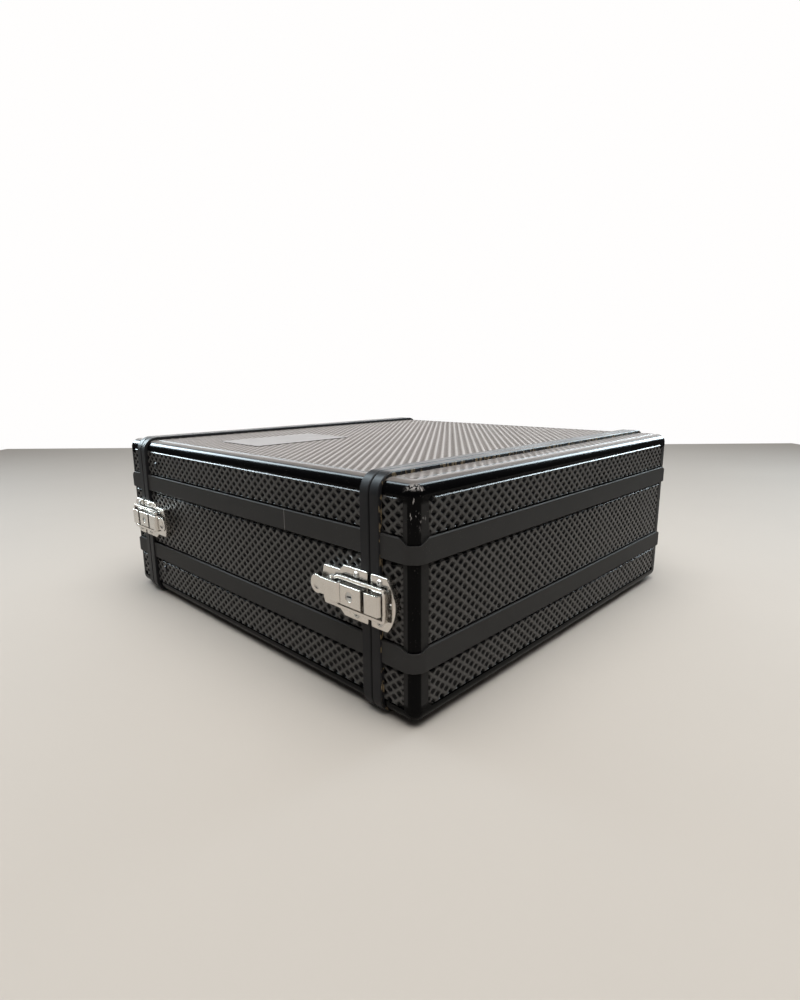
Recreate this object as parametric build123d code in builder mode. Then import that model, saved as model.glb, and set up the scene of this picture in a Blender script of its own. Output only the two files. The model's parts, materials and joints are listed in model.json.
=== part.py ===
from build123d import *
import os

# A moulded rack case for four rack units. An open sleeve carries the rack rails. A cover closes
# each end: its edge seats on the sleeve's edge with a tongue and groove, and a draw latch on
# each side pulls it tight. Millimetres. +Z is up, +Y runs from the front cover to the rear cover,
# and the origin lies on the ground under the middle of the case.

# Moulded shells
shell_width = 515.0
shell_height = 203.0
body_length = 435.4
cover_depth = 46.3
shell_wall = 3.5
edge_radius = 11.0
face_edge_radius = 10.0

# Raised bands round the upright sides
band_height = 20.7
band_rise = 2.5
band_edge = 1.0
lower_band_base = 47.0
upper_band_drop = 64.7
upper_dip = 5.4
lower_dip = 3.4
dip_half_mouth = 12.0
dip_half_floor = 5.5

# Sunk fields that hold the lozenge texture
field_depth = 1.2
edge_margin = 12.0
face_margin = 16.5
field_corner = 8.0

# Edge extrusions at the two seams
valance_width = 11.3
valance_stand = 4.0
valance_corner = 18.0
valance_chamfer = 0.9
valance_inner = 2.5
body_web = 4.0
cover_web = 7.0
seam_gap = 0.4
tongue_length = 4.5
tongue_thickness = 2.4
tongue_depth = 1.2
tongue_clearance = 0.3

# Rack rails: the shell leaves them the 450.8 mm opening of the 19 inch standard, and four units
rack_unit = 44.45
rack_holes_per_unit = 3
rack_hole_radius = 3.25
rack_hole_inset = 7.15
rack_end_step = 6.35
rack_hole_step = 15.875
rail_face = 28.6
rail_metal = 2.0
rail_setback = 20.0
rail_flange = 30.0
rail_extra = 1.4
rail_end_room = 6.0
rail_screw_inset = 13.5
rear_screw_band_gap = 13.3
screw_radius = 2.5
screw_head_radius = 5.0
screw_head_height = 2.8
screw_bite = 4.0
fit_clearance = 0.05

# Latch: t runs from the seam onto the body, n outwards from the shell's surface
plate_top = 6.4
plate_roof = 3.0
plate_skirt = 1.4
plate_edge = 0.8
plate_corner = 1.6
wing_half = 23.0
base_seam = 0.6
wing_end = 30.0
waist_start = 36.0
waist_half = 18.0
base_shoulder = 57.0
base_end = 60.0
catch_seam = 3.4
catch_shoulder = 22.0
catch_end = 31.0
dish_depth = 1.5
dish_start = 15.0
dish_end = 27.4
dish_half = 13.0

block_half = 9.0
block_top = 14.4
lock_near = 1.2
lock_far = 26.5
lock_edge = 0.7
plug_place = 15.0
plug_radius = 4.2
plug_sink = 0.3
plug_length = 6.5
keyway_length = 5.6
keyway_width = 1.3
key_eye = 1.2

lever_pin_place = 31.0
lever_pin_height = 10.6
knuckle_radius = 3.8
lever_wall = 1.4
lever_roof = 1.5
lever_foot = 7.2
lever_end = 48.0
lever_slope = 1.5
tab_height = 10.2
tab_metal = 1.6
tab_radius = 8.6
tab_end = 69.5
tab_dish_radius = 16.0
tab_dish_depth = 0.8
pin_radius = 1.2
ear_metal = 1.4
ear_radius = 2.0
ear_neck_half = 1.6
ear_gap = 0.2
pin_overhang = 0.4

loop_pin_place = 41.5
loop_pin_height = 9.4
loop_bar = 2.8
loop_height = 3.0
loop_side_gap = 0.7
loop_inner_half = 12.0
loop_taper_start = 33.0
loop_taper_end = 38.0
loop_eye_radius = 2.2
loop_corner = 4.0
keeper_near = 3.4
keeper_top_end = 18.6
keeper_foot = 21.8
keeper_play = 0.4

rivet_radius = 2.0
rivet_head_radius = 3.0
rivet_head_height = 1.1
rivet_head_slope = 0.7
rivet_hole_radius = 0.9
rivet_hole_depth = 2.0
rivet_tail_radius = 2.4
rivet_tail_height = 1.0
dish_rivet_head_radius = 2.4
base_rivet_place = 14.0
base_rivet_half = 18.0
catch_rivet_place = 14.0
catch_rivet_half = 17.4
dish_rivet_place = 24.7

# Plate on the top
name_plate_width = 140.0
name_plate_depth = 85.0
name_plate_metal = 0.8
name_plate_corner = 4.0
name_plate_side_gap = 57.5
name_plate_seam_gap = 96.2

# Length under which two places count as the same
tiny = 0.01

# Places that follow from the sizes above
shell_bottom = valance_stand
shell_top = shell_bottom + shell_height
mid_z = shell_bottom + shell_height / 2
half_width = shell_width / 2
seam_y = body_length / 2
face_y = seam_y + cover_depth
band_run = body_length - 2 * valance_width
lower_band = shell_bottom + lower_band_base
upper_band = shell_top - upper_band_drop
low_field = (shell_bottom + edge_margin, lower_band)
middle_field = (lower_band + band_height, upper_band)
high_field = (upper_band + band_height, shell_top - edge_margin)
wall_inside = half_width - shell_wall
rack_opening = 2 * (wall_inside - rail_face)
rack_hole_pitch = rack_opening + 2 * rack_hole_inset
rack_units = int((shell_height - 2 * (shell_wall + rail_end_room + rail_extra)) // rack_unit)
rail_height = rack_units * rack_unit + 2 * rail_extra
name_plate_x = name_plate_side_gap + name_plate_width / 2 - half_width
name_plate_y = seam_y - name_plate_seam_gap - name_plate_depth / 2
dish_floor = plate_top - dish_depth
loop_low = loop_pin_height - loop_height / 2
keeper_slope = (keeper_foot - keeper_top_end) / (block_top - dish_floor)
loop_reach = keeper_foot - keeper_slope * (loop_low - dish_floor) + keeper_play
eye_inner_half = block_half + loop_side_gap

os.makedirs("parts", exist_ok=True)


def finish(piece, name):
    """Labels a piece and writes it to its own file."""
    piece.label = name
    export_step(piece, f"parts/{name}.step")


def outline(y, grow, radius):
    """Upright section at y, standing grow outside the shell's surface."""
    with BuildSketch(Plane.XZ.offset(-y)) as section:
        with Locations((0, mid_z)):
            RectangleRounded(shell_width + 2 * grow, shell_height + 2 * grow, radius)
    return section.sketch


def ring(y, outer_grow, outer_radius, inner_grow):
    """Upright ring at y between two outlines of the shell."""
    with BuildSketch(Plane.XZ.offset(-y)) as section:
        with Locations((0, mid_z)):
            RectangleRounded(shell_width + 2 * outer_grow, shell_height + 2 * outer_grow, outer_radius)
            RectangleRounded(
                shell_width + 2 * inner_grow,
                shell_height + 2 * inner_grow,
                edge_radius + inner_grow,
                mode=Mode.SUBTRACT,
            )
    return section.sketch


def corner_field(plane, low, high, rounded):
    """Rectangular field from its low to its high corner, with the named corners rounded."""
    with BuildSketch(plane) as field:
        with Locations(((low[0] + high[0]) / 2, (low[1] + high[1]) / 2)):
            Rectangle(high[0] - low[0], high[1] - low[1])
        corners = field.vertices().group_by(Axis.X if plane.x_dir.X else Axis.Y)
        picked = []
        for column, row in rounded:
            picked += [corners[column].sort_by(Axis(plane.origin, plane.y_dir))[row]]
        if picked:
            fillet(picked, field_corner)
    return field.sketch


def latch_plane(end, side):
    """Plane of one latch: x is t, z is n, and every latch piece is even about x."""
    return Plane(origin=(side * half_width, end * seam_y, mid_z), x_dir=(0, -end, 0), z_dir=(side, 0, 0))


def profile_plane(place):
    """Plane for the side view of a latch piece: x is t and y is n."""
    return Plane(origin=place.origin, x_dir=place.x_dir, z_dir=-place.y_dir)


def latch_places(end):
    """The two latches of one cover with their names."""
    name = "front" if end < 0 else "rear"
    return [(f"{name}_left", latch_plane(end, -1)), (f"{name}_right", latch_plane(end, 1))]


def rivet_spots(on_cover):
    """Where rivets pass through a latch's base plate or catch plate, as (t, b)."""
    if on_cover:
        row = [(-catch_rivet_place, half) for half in (-catch_rivet_half, catch_rivet_half)]
        return row + [(-dish_rivet_place, 0)]
    return [(base_rivet_place, half) for half in (-base_rivet_half, base_rivet_half)]


def rear_screw_spots():
    """Screws of a rear rail, whose heads show outside beyond the bands, as (y, z)."""
    y = seam_y - rail_setback - rail_screw_inset
    heights = (lower_band - rear_screw_band_gap, upper_band + band_height + rear_screw_band_gap)
    return [(y, height) for height in heights]


def front_screw_spots():
    """Screws of a front rail, which bite from inside into the wall behind the bands, as (y, z)."""
    y = rail_setback + rail_screw_inset - seam_y
    return [(y, band + band_height / 2) for band in (lower_band, upper_band)]


def base_outline(place, grow=0, on_shell=False):
    """Outline of a latch's base plate, or only what stands on the shell behind the valance."""
    with BuildSketch(place) as plate:
        with BuildLine():
            Polyline(
                (base_shoulder, -waist_half),
                (waist_start, -waist_half),
                (wing_end, -wing_half),
                (base_seam, -wing_half),
                (base_seam, wing_half),
                (wing_end, wing_half),
                (waist_start, waist_half),
                (base_shoulder, waist_half),
            )
            ThreePointArc((base_shoulder, waist_half), (base_end, 0), (base_shoulder, -waist_half))
        make_face()
        fillet(plate.vertices(), plate_corner)
        if grow:
            offset(amount=grow, mode=Mode.REPLACE)
        if on_shell:
            with Locations(((valance_width + base_end) / 2, 0)):
                Rectangle(base_end - valance_width, 2 * wing_half, mode=Mode.INTERSECT)
    return plate.sketch


def catch_outline(place, grow=0, on_shell=False):
    """Outline of a catch plate, or only what stands on the cover's shell."""
    with BuildSketch(place) as plate:
        with BuildLine():
            Polyline(
                (-catch_shoulder, wing_half),
                (-catch_seam, wing_half),
                (-catch_seam, -wing_half),
                (-catch_shoulder, -wing_half),
            )
            ThreePointArc((-catch_shoulder, -wing_half), (-catch_end, 0), (-catch_shoulder, wing_half))
        make_face()
        fillet(plate.vertices(), plate_corner)
        if grow:
            offset(amount=grow, mode=Mode.REPLACE)
        if on_shell:
            with Locations((-(valance_width + catch_end) / 2, 0)):
                Rectangle(catch_end - valance_width, 2 * wing_half, mode=Mode.INTERSECT)
    return plate.sketch


def outer_edges(piece, place):
    """Edges of the face of a latch piece that lies furthest from the shell."""
    outward = Axis(place.origin, place.z_dir)
    return piece.faces().filter_by(outward).sort_by(outward)[-1].edges()


# Body sleeve
with BuildPart() as body_shell:
    sleeve_end = seam_y - body_web
    extrude(outline(sleeve_end, 0, edge_radius), amount=2 * sleeve_end)
    with BuildSketch(Plane.XZ.offset(-band_run / 2)) as side_bands:
        for band in (lower_band, upper_band):
            with Locations((-half_width, band + band_height / 2), (half_width, band + band_height / 2)):
                RectangleRounded(2 * band_rise, band_height, band_edge)
    extrude(amount=band_run)
    for side in (-1, 1):
        for low, high in (low_field, middle_field, high_field):
            wall = Plane.YZ.offset(side * half_width)
            field = corner_field(wall, (-band_run / 2, low), (band_run / 2, high), ())
            extrude(field, amount=-side * field_depth, mode=Mode.SUBTRACT)
    reach = half_width - edge_margin
    field = corner_field(Plane.XY.offset(shell_bottom), (-reach, -band_run / 2), (reach, band_run / 2), ())
    extrude(field, amount=field_depth, mode=Mode.SUBTRACT)
    with BuildSketch(Plane.XY.offset(shell_top)) as top_field:
        Rectangle(2 * reach, band_run)
        with Locations((name_plate_x, name_plate_y)):
            RectangleRounded(name_plate_width, name_plate_depth, name_plate_corner, mode=Mode.SUBTRACT)
    extrude(amount=-field_depth, mode=Mode.SUBTRACT)
    extrude(outline(sleeve_end, -shell_wall, edge_radius - shell_wall), amount=2 * sleeve_end, mode=Mode.SUBTRACT)
    for end in (-1, 1):
        for name, place in latch_places(end):
            extrude(base_outline(place, on_shell=True), amount=-field_depth)
            with BuildSketch(place.offset(-shell_wall)) as rivet_holes:
                with Locations(*rivet_spots(False)):
                    Circle(rivet_radius + fit_clearance)
            extrude(amount=shell_wall, mode=Mode.SUBTRACT)
    for side in (-1, 1):
        with BuildSketch(Plane.YZ.offset(side * wall_inside)) as screw_holes:
            with Locations(*rear_screw_spots()):
                Circle(screw_radius + fit_clearance)
        extrude(amount=side * shell_wall, mode=Mode.SUBTRACT)
        with BuildSketch(Plane.YZ.offset(side * wall_inside)) as blind_holes:
            with Locations(*front_screw_spots()):
                Circle(screw_radius + fit_clearance)
        extrude(amount=side * screw_bite, mode=Mode.SUBTRACT)
finish(body_shell.part, "body_shell")


def cover_block(end, inset):
    """The cover's outer block, or its hollow when inset is the wall."""
    face = face_y - inset
    web = seam_y + (cover_web if inset == 0 else -inset)
    with BuildPart() as block:
        extrude(outline(end * face, -inset, edge_radius - inset), amount=end * (face - web))
        face_edges = block.faces().sort_by(Axis.Y)[-1 if end > 0 else 0].edges()
        fillet(face_edges, face_edge_radius - inset)
    return block.part


def corner_dip(end, side, edge_z, depth):
    """Prism that lowers a band's upper edge where it turns an upright corner."""
    outward = Vector(side, end, 0).normalized()
    corner = Plane(
        origin=(side * half_width, end * face_y, edge_z),
        x_dir=Vector(0, 0, 1).cross(outward),
        z_dir=outward,
    )
    with BuildPart() as dip:
        with BuildSketch(corner):
            with BuildLine():
                Polyline(
                    (-dip_half_mouth, 0),
                    (dip_half_mouth, 0),
                    (dip_half_floor, -depth),
                    (-dip_half_floor, -depth),
                    close=True,
                )
            make_face()
        extrude(amount=edge_radius + band_rise, both=True)
    return dip.part


def cover_bands(end):
    """Both bands of a cover: they run round its face and both sides, up to the valance."""
    back = seam_y + valance_width
    front = face_y + band_rise
    with BuildPart() as bands:
        for base in (lower_band, upper_band):
            with BuildSketch(Plane.XY.offset(base)) as plan:
                with Locations((0, end * (front + back) / 2)):
                    Rectangle(shell_width + 2 * band_rise, front - back)
                corners = plan.vertices().group_by(Axis.Y)[-1 if end > 0 else 0]
                fillet(corners, edge_radius + band_rise)
            extrude(amount=band_height)
        rim = [edge for edge in bands.edges() if abs(edge.center().Z - edge.bounding_box().max.Z) < tiny]
        rim = [edge for edge in rim if abs(abs(edge.center().Y) - back) > tiny]
        fillet(rim, band_edge)
        for side in (-1, 1):
            add(corner_dip(end, side, lower_band + band_height, lower_dip), mode=Mode.SUBTRACT)
            add(corner_dip(end, side, upper_band + band_height, upper_dip), mode=Mode.SUBTRACT)
    return bands.part


def make_cover(end):
    """Cover shell for the front (end -1) or the rear (end 1)."""
    with BuildPart() as cover:
        add(cover_block(end, 0))
        add(cover_bands(end))
        reach = half_width - face_margin
        face = Plane.XZ.offset(-end * face_y)
        for (low, high), rounded in (
            (low_field, ((0, 0), (1, 0))),
            (middle_field, ()),
            (high_field, ((0, 1), (1, 1))),
        ):
            field = corner_field(face, (-reach, low), (reach, high), rounded)
            extrude(field, amount=end * field_depth, mode=Mode.SUBTRACT)
        near = end * (seam_y + valance_width)
        far = end * (face_y - edge_margin)
        front_column = 1 if end > 0 else 0
        run = (min(near, far), max(near, far))
        for side in (-1, 1):
            wall = Plane.YZ.offset(side * half_width)
            for (low, high), rounded in (
                (low_field, ((front_column, 0),)),
                (middle_field, ()),
                (high_field, ((front_column, 1),)),
            ):
                field = corner_field(wall, (run[0], low), (run[1], high), rounded)
                extrude(field, amount=-side * field_depth, mode=Mode.SUBTRACT)
        reach = half_width - edge_margin
        for level, inward in ((shell_bottom, 1), (shell_top, -1)):
            rounded = ((0, front_column), (1, front_column))
            field = corner_field(Plane.XY.offset(level), (-reach, run[0]), (reach, run[1]), rounded)
            extrude(field, amount=inward * field_depth, mode=Mode.SUBTRACT)
        add(cover_block(end, shell_wall), mode=Mode.SUBTRACT)
        for name, place in latch_places(end):
            extrude(catch_outline(place, on_shell=True), amount=-field_depth)
            with BuildSketch(place.offset(-shell_wall)) as rivet_holes:
                with Locations(*rivet_spots(True)):
                    Circle(rivet_radius + fit_clearance)
            extrude(amount=shell_wall, mode=Mode.SUBTRACT)
    return cover.part


finish(make_cover(-1), "front_cover_shell")
finish(make_cover(1), "rear_cover_shell")


def make_valance(end, on_cover):
    """Edge extrusion of the body or of a cover, which grips the shell's wall in a slot."""
    away = end if on_cover else -end
    start = end * seam_y + away * seam_gap / 2
    web = cover_web if on_cover else body_web
    groove = tongue_clearance if on_cover else 0
    with BuildPart() as valance:
        length = valance_width - seam_gap / 2
        extrude(ring(start, valance_stand, valance_corner, -shell_wall - valance_inner), amount=-away * length)
        ends = valance.faces().filter_by(Axis.Y)
        chamfer([edge for face in ends for edge in face.outer_wire().edges()], valance_chamfer)
        slot_start = end * seam_y + away * web
        extrude(
            ring(slot_start, 0, edge_radius, -shell_wall),
            amount=-away * (valance_width - web),
            mode=Mode.SUBTRACT,
        )
        tongue = ring(
            start,
            groove - tongue_depth + tongue_thickness / 2,
            edge_radius + groove - tongue_depth + tongue_thickness / 2,
            -groove - tongue_depth - tongue_thickness / 2,
        )
        if on_cover:
            extrude(tongue, amount=-away * (tongue_length + tongue_clearance), mode=Mode.SUBTRACT)
        else:
            extrude(tongue, amount=away * tongue_length)
    return valance.part


for end, name in ((-1, "front"), (1, "rear")):
    finish(make_valance(end, False), f"body_{name}_valance")
    finish(make_valance(end, True), f"{name}_cover_valance")


def make_rail(end, side):
    """Rack rail: a punched face and a flange that lies against the side wall."""
    face_at = end * (seam_y - rail_setback)
    back_at = face_at - end * rail_flange
    with BuildPart() as rail:
        with BuildSketch(Plane.XY.offset(mid_z - rail_height / 2)) as section:
            with BuildLine():
                Polyline(
                    (side * rack_opening / 2, face_at),
                    (side * wall_inside, face_at),
                    (side * wall_inside, back_at),
                    (side * (wall_inside - rail_metal), back_at),
                    (side * (wall_inside - rail_metal), face_at - end * rail_metal),
                    (side * rack_opening / 2, face_at - end * rail_metal),
                    close=True,
                )
            make_face()
        extrude(amount=rail_height)
        first = mid_z - rack_units * rack_unit / 2 + rack_end_step
        spots = []
        for unit in range(rack_units):
            for step in range(rack_holes_per_unit):
                spots.append((side * rack_hole_pitch / 2, first + unit * rack_unit + step * rack_hole_step))
        with BuildSketch(Plane.XZ.offset(-face_at)) as holes:
            with Locations(*spots):
                Circle(rack_hole_radius)
        extrude(amount=end * rail_metal, mode=Mode.SUBTRACT)
        screws = rear_screw_spots() if end > 0 else front_screw_spots()
        with BuildSketch(Plane.YZ.offset(side * wall_inside)) as screw_holes:
            with Locations(*screws):
                Circle(screw_radius + fit_clearance)
        extrude(amount=-side * rail_metal, mode=Mode.SUBTRACT)
    return rail.part


for end, name in ((-1, "front"), (1, "rear")):
    finish(make_rail(end, -1), f"{name}_left_rack_rail")
    finish(make_rail(end, 1), f"{name}_right_rack_rail")

# Rail screws: the rear ones show outside, the front ones go in from inside
with BuildPart() as rear_rail_screws:
    for side in (-1, 1):
        seat = side * (half_width - field_depth)
        with BuildSketch(Plane.YZ.offset(seat)) as heads:
            with Locations(*rear_screw_spots()):
                Circle(screw_head_radius)
        extrude(amount=side * screw_head_height)
        with BuildSketch(Plane.YZ.offset(seat)) as shanks:
            with Locations(*rear_screw_spots()):
                Circle(screw_radius)
        extrude(amount=-side * (shell_wall - field_depth + rail_metal))
        outermost = rear_rail_screws.faces().group_by(Axis.X)[-1 if side > 0 else 0]
        chamfer(outermost.edges(), screw_head_height / 2)
finish(rear_rail_screws.part, "rear_rail_screws")

with BuildPart() as front_rail_screws:
    for side in (-1, 1):
        seat = side * (wall_inside - rail_metal)
        with BuildSketch(Plane.YZ.offset(seat)) as heads:
            with Locations(*front_screw_spots()):
                Circle(screw_head_radius)
        extrude(amount=-side * screw_head_height)
        with BuildSketch(Plane.YZ.offset(seat)) as shanks:
            with Locations(*front_screw_spots()):
                Circle(screw_radius)
        extrude(amount=side * (rail_metal + screw_bite - fit_clearance))
finish(front_rail_screws.part, "front_rail_screws")


def make_base(place):
    """Base plate of a latch: a stamped pan with two ears that hold the lever's pin."""
    side_view = profile_plane(place)
    with BuildPart() as base:
        extrude(base_outline(place), amount=plate_top)
        fillet(outer_edges(base, place), plate_edge)
        extrude(base_outline(place, -plate_skirt), amount=plate_top - plate_roof, mode=Mode.SUBTRACT)
        with BuildSketch(side_view) as valance_room:
            with Locations((valance_width / 2, valance_stand / 2)):
                Rectangle(valance_width, valance_stand)
        extrude(amount=wing_half + plate_corner, both=True, mode=Mode.SUBTRACT)
        ear_out = block_half - lever_wall - ear_gap
        for half in (-1, 1):
            with BuildSketch(side_view.offset(half * (ear_out - ear_metal / 2))) as ear:
                with Locations((lever_pin_place, lever_pin_height)):
                    Circle(ear_radius)
                with Locations((lever_pin_place, (plate_top + lever_pin_height) / 2)):
                    Rectangle(2 * ear_neck_half, lever_pin_height - plate_top)
            extrude(amount=ear_metal / 2, both=True)
        with BuildSketch(side_view) as pin_hole:
            with Locations((lever_pin_place, lever_pin_height)):
                Circle(pin_radius + fit_clearance)
        extrude(amount=block_half, both=True, mode=Mode.SUBTRACT)
        with BuildSketch(place) as rivet_holes:
            with Locations(*rivet_spots(False)):
                Circle(rivet_radius + fit_clearance)
        extrude(amount=plate_top, mode=Mode.SUBTRACT)
    return base.part


def make_catch(place):
    """Catch plate on the cover, with the keeper block and a dish behind it."""
    side_view = profile_plane(place)
    with BuildPart() as catch:
        extrude(catch_outline(place), amount=plate_top)
        fillet(outer_edges(catch, place), plate_edge)
        extrude(catch_outline(place, -plate_skirt), amount=plate_top - plate_roof, mode=Mode.SUBTRACT)
        with BuildSketch(side_view) as valance_room:
            with Locations((-valance_width / 2, valance_stand / 2)):
                Rectangle(valance_width, valance_stand)
        extrude(amount=wing_half + plate_corner, both=True, mode=Mode.SUBTRACT)
        with BuildSketch(place.offset(dish_floor)) as dish:
            with Locations((-(dish_start + dish_end) / 2, 0)):
                RectangleRounded(dish_end - dish_start, 2 * dish_half, plate_corner)
        extrude(amount=dish_depth, mode=Mode.SUBTRACT)
        with BuildSketch(side_view) as keeper:
            with BuildLine():
                Polyline(
                    (-keeper_near, dish_floor),
                    (-keeper_near, block_top),
                    (-keeper_top_end, block_top),
                    (-keeper_foot, dish_floor),
                    close=True,
                )
            make_face()
        extrude(amount=block_half, both=True)
        with BuildSketch(place) as rivet_holes:
            with Locations(*rivet_spots(True)):
                Circle(rivet_radius + fit_clearance)
        extrude(amount=plate_top, mode=Mode.SUBTRACT)
    return catch.part


def make_lever(place):
    """Lever: a channel that turns on its pin, with a knuckle by the lock and a round finger tab."""
    side_view = profile_plane(place)
    with BuildPart() as lever:
        with BuildSketch(side_view) as body:
            with BuildLine():
                Polyline(
                    (lever_pin_place, lever_pin_height + knuckle_radius),
                    (lever_end, block_top),
                    (lever_end + lever_slope, tab_height),
                    (lever_end + lever_slope, lever_foot),
                    (lever_pin_place, lever_pin_height - knuckle_radius),
                )
                ThreePointArc(
                    (lever_pin_place, lever_pin_height - knuckle_radius),
                    (lever_pin_place - knuckle_radius, lever_pin_height),
                    (lever_pin_place, lever_pin_height + knuckle_radius),
                )
            make_face()
        extrude(amount=block_half, both=True)
        with BuildSketch(side_view) as channel:
            roof = block_top - lever_roof
            with BuildLine():
                Polyline(
                    (lever_end - lever_wall, 0),
                    (lever_end - lever_wall, roof),
                    (lever_pin_place, roof),
                    (lever_pin_place - ear_radius, lever_pin_height + ear_radius),
                    (lever_pin_place - 2 * knuckle_radius, lever_pin_height + ear_radius),
                    (lever_pin_place - 2 * knuckle_radius, 0),
                    close=True,
                )
            make_face()
        extrude(amount=block_half - lever_wall, both=True, mode=Mode.SUBTRACT)
        with BuildSketch(place.offset(tab_height)) as tab:
            with Locations((tab_end - tab_radius, 0)):
                Circle(tab_radius)
            with Locations(((lever_end + tab_end - tab_radius) / 2 - lever_wall / 2, 0)):
                Rectangle(tab_end - tab_radius - lever_end + lever_wall, 2 * block_half - 2 * lever_wall)
        extrude(amount=tab_metal)
        dish_middle = (tab_end - tab_radius, 0, tab_height + tab_metal + tab_dish_radius - tab_dish_depth)
        with Locations(place.from_local_coords(dish_middle)):
            Sphere(tab_dish_radius, rotation=(0, 0, 90), mode=Mode.SUBTRACT)
        for spot, height in ((lever_pin_place, lever_pin_height), (loop_pin_place, loop_pin_height)):
            with BuildSketch(side_view) as pin_hole:
                with Locations((spot, height)):
                    Circle(pin_radius + fit_clearance)
            extrude(amount=block_half + lever_wall, both=True, mode=Mode.SUBTRACT)
    return lever.part


def make_loop(place):
    """Draw loop: a flat U of bar whose eyes sit on the loop pin and whose closed end holds the keeper."""
    side_view = profile_plane(place)
    with BuildPart() as loop:
        with BuildSketch(place.offset(loop_low)) as bars:
            for grow, mode in ((loop_bar, Mode.ADD), (0, Mode.SUBTRACT)):
                with BuildSketch(mode=mode) as frame:
                    with BuildLine():
                        Polyline(
                            (loop_pin_place, eye_inner_half + grow),
                            (loop_taper_end, eye_inner_half + grow),
                            (loop_taper_start, loop_inner_half + grow),
                            (-loop_reach - grow, loop_inner_half + grow),
                            (-loop_reach - grow, -loop_inner_half - grow),
                            (loop_taper_start, -loop_inner_half - grow),
                            (loop_taper_end, -eye_inner_half - grow),
                            (loop_pin_place, -eye_inner_half - grow),
                            close=True,
                        )
                    make_face()
                    closed_end = frame.vertices().group_by(Axis.X)[0]
                    fillet(closed_end, loop_corner if grow else loop_corner - loop_bar)
        extrude(amount=loop_height)
        for half in (-1, 1):
            with BuildSketch(side_view.offset(half * (eye_inner_half + loop_bar / 2))) as eye:
                with Locations((loop_pin_place, loop_pin_height)):
                    Circle(loop_eye_radius)
            extrude(amount=loop_bar / 2, both=True)
        with BuildSketch(side_view) as pin_hole:
            with Locations((loop_pin_place, loop_pin_height)):
                Circle(pin_radius + fit_clearance)
        extrude(amount=eye_inner_half + 2 * loop_bar, both=True, mode=Mode.SUBTRACT)
    return loop.part


def make_pin(place, spot, height, half_length):
    """Plain pin across a latch."""
    with BuildPart() as pin:
        with BuildSketch(profile_plane(place)) as section:
            with Locations((spot, height)):
                Circle(pin_radius)
        extrude(amount=half_length, both=True)
    return pin.part


def make_lock_body(place):
    """Lock body on the base plate, with the bore for its plug."""
    with BuildPart() as lock:
        with BuildSketch(place.offset(plate_top)) as block:
            with Locations(((lock_near + lock_far) / 2, 0)):
                Rectangle(lock_far - lock_near, 2 * block_half)
        extrude(amount=block_top - plate_top)
        fillet(outer_edges(lock, place), lock_edge)
        with BuildSketch(place.offset(block_top - plug_sink - plug_length)) as bore:
            with Locations((plug_place, 0)):
                Circle(plug_radius + fit_clearance)
        extrude(amount=plug_length + plug_sink, mode=Mode.SUBTRACT)
    return lock.part


def make_lock_plug(place):
    """Plug of the lock, with a keyway whose round eye is off its middle."""
    with BuildPart() as plug:
        with BuildSketch(place.offset(block_top - plug_sink - plug_length)) as round_bar:
            with Locations((plug_place, 0)):
                Circle(plug_radius)
        extrude(amount=plug_length)
        with BuildSketch(place.offset(block_top - plug_sink)) as keyway:
            with Locations((plug_place, 0)):
                Rectangle(keyway_length, keyway_width)
            with Locations((plug_place - keyway_length / 2 + key_eye, 0)):
                Circle(key_eye)
        extrude(amount=-plug_length / 2, mode=Mode.SUBTRACT)
    return plug.part


for end in (-1, 1):
    for name, place in latch_places(end):
        finish(make_base(place), f"{name}_latch_base")
        finish(make_lever(place), f"{name}_latch_lever")
        finish(make_loop(place), f"{name}_latch_loop")
        lever_pin_half = block_half + pin_overhang
        loop_pin_half = eye_inner_half + loop_bar + pin_overhang
        finish(make_pin(place, lever_pin_place, lever_pin_height, lever_pin_half), f"{name}_lever_pin")
        finish(make_pin(place, loop_pin_place, loop_pin_height, loop_pin_half), f"{name}_loop_pin")
        finish(make_lock_body(place), f"{name}_lock_body")
        finish(make_lock_plug(place), f"{name}_lock_plug")
        finish(make_catch(place), f"{name}_latch_catch")


def make_rivets(places, on_cover):
    """Tubular rivets: a head on the plate, a shank through the wall and a tail inside."""
    with BuildPart() as rivets:
        for place in places:
            for spot, across in rivet_spots(on_cover):
                in_dish = on_cover and across == 0
                seat = dish_floor if in_dish else plate_top
                head = dish_rivet_head_radius if in_dish else rivet_head_radius
                top = seat + rivet_head_height
                section = profile_plane(place).offset(across)
                with BuildSketch(section):
                    with BuildLine():
                        Polyline(
                            (spot, -shell_wall - rivet_tail_height),
                            (spot + rivet_tail_radius, -shell_wall - rivet_tail_height),
                            (spot + rivet_tail_radius, -shell_wall),
                            (spot + rivet_radius, -shell_wall),
                            (spot + rivet_radius, seat),
                            (spot + head, seat),
                            (spot + head - rivet_head_slope, top),
                            (spot + rivet_hole_radius, top),
                            (spot + rivet_hole_radius, top - rivet_hole_depth),
                            (spot, top - rivet_hole_depth),
                            close=True,
                        )
                    make_face()
                revolve(axis=Axis(section.from_local_coords((spot, 0, 0)), section.y_dir))
    return rivets.part


base_places = [place for end in (-1, 1) for name, place in latch_places(end)]
finish(make_rivets(base_places, False), "latch_base_rivets")
finish(make_rivets([place for name, place in latch_places(-1)], True), "front_catch_rivets")
finish(make_rivets([place for name, place in latch_places(1)], True), "rear_catch_rivets")

# Plate on the top, bare
with BuildPart() as top_name_plate:
    with BuildSketch(Plane.XY.offset(shell_top)) as plate:
        with Locations((name_plate_x, name_plate_y)):
            RectangleRounded(name_plate_width, name_plate_depth, name_plate_corner)
    extrude(amount=name_plate_metal)
finish(top_name_plate.part, "top_name_plate")
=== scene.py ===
import json
import math

import bmesh
import bpy
from bpy.props import FloatProperty, FloatVectorProperty, PointerProperty
from mathutils import Matrix, Vector


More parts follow.
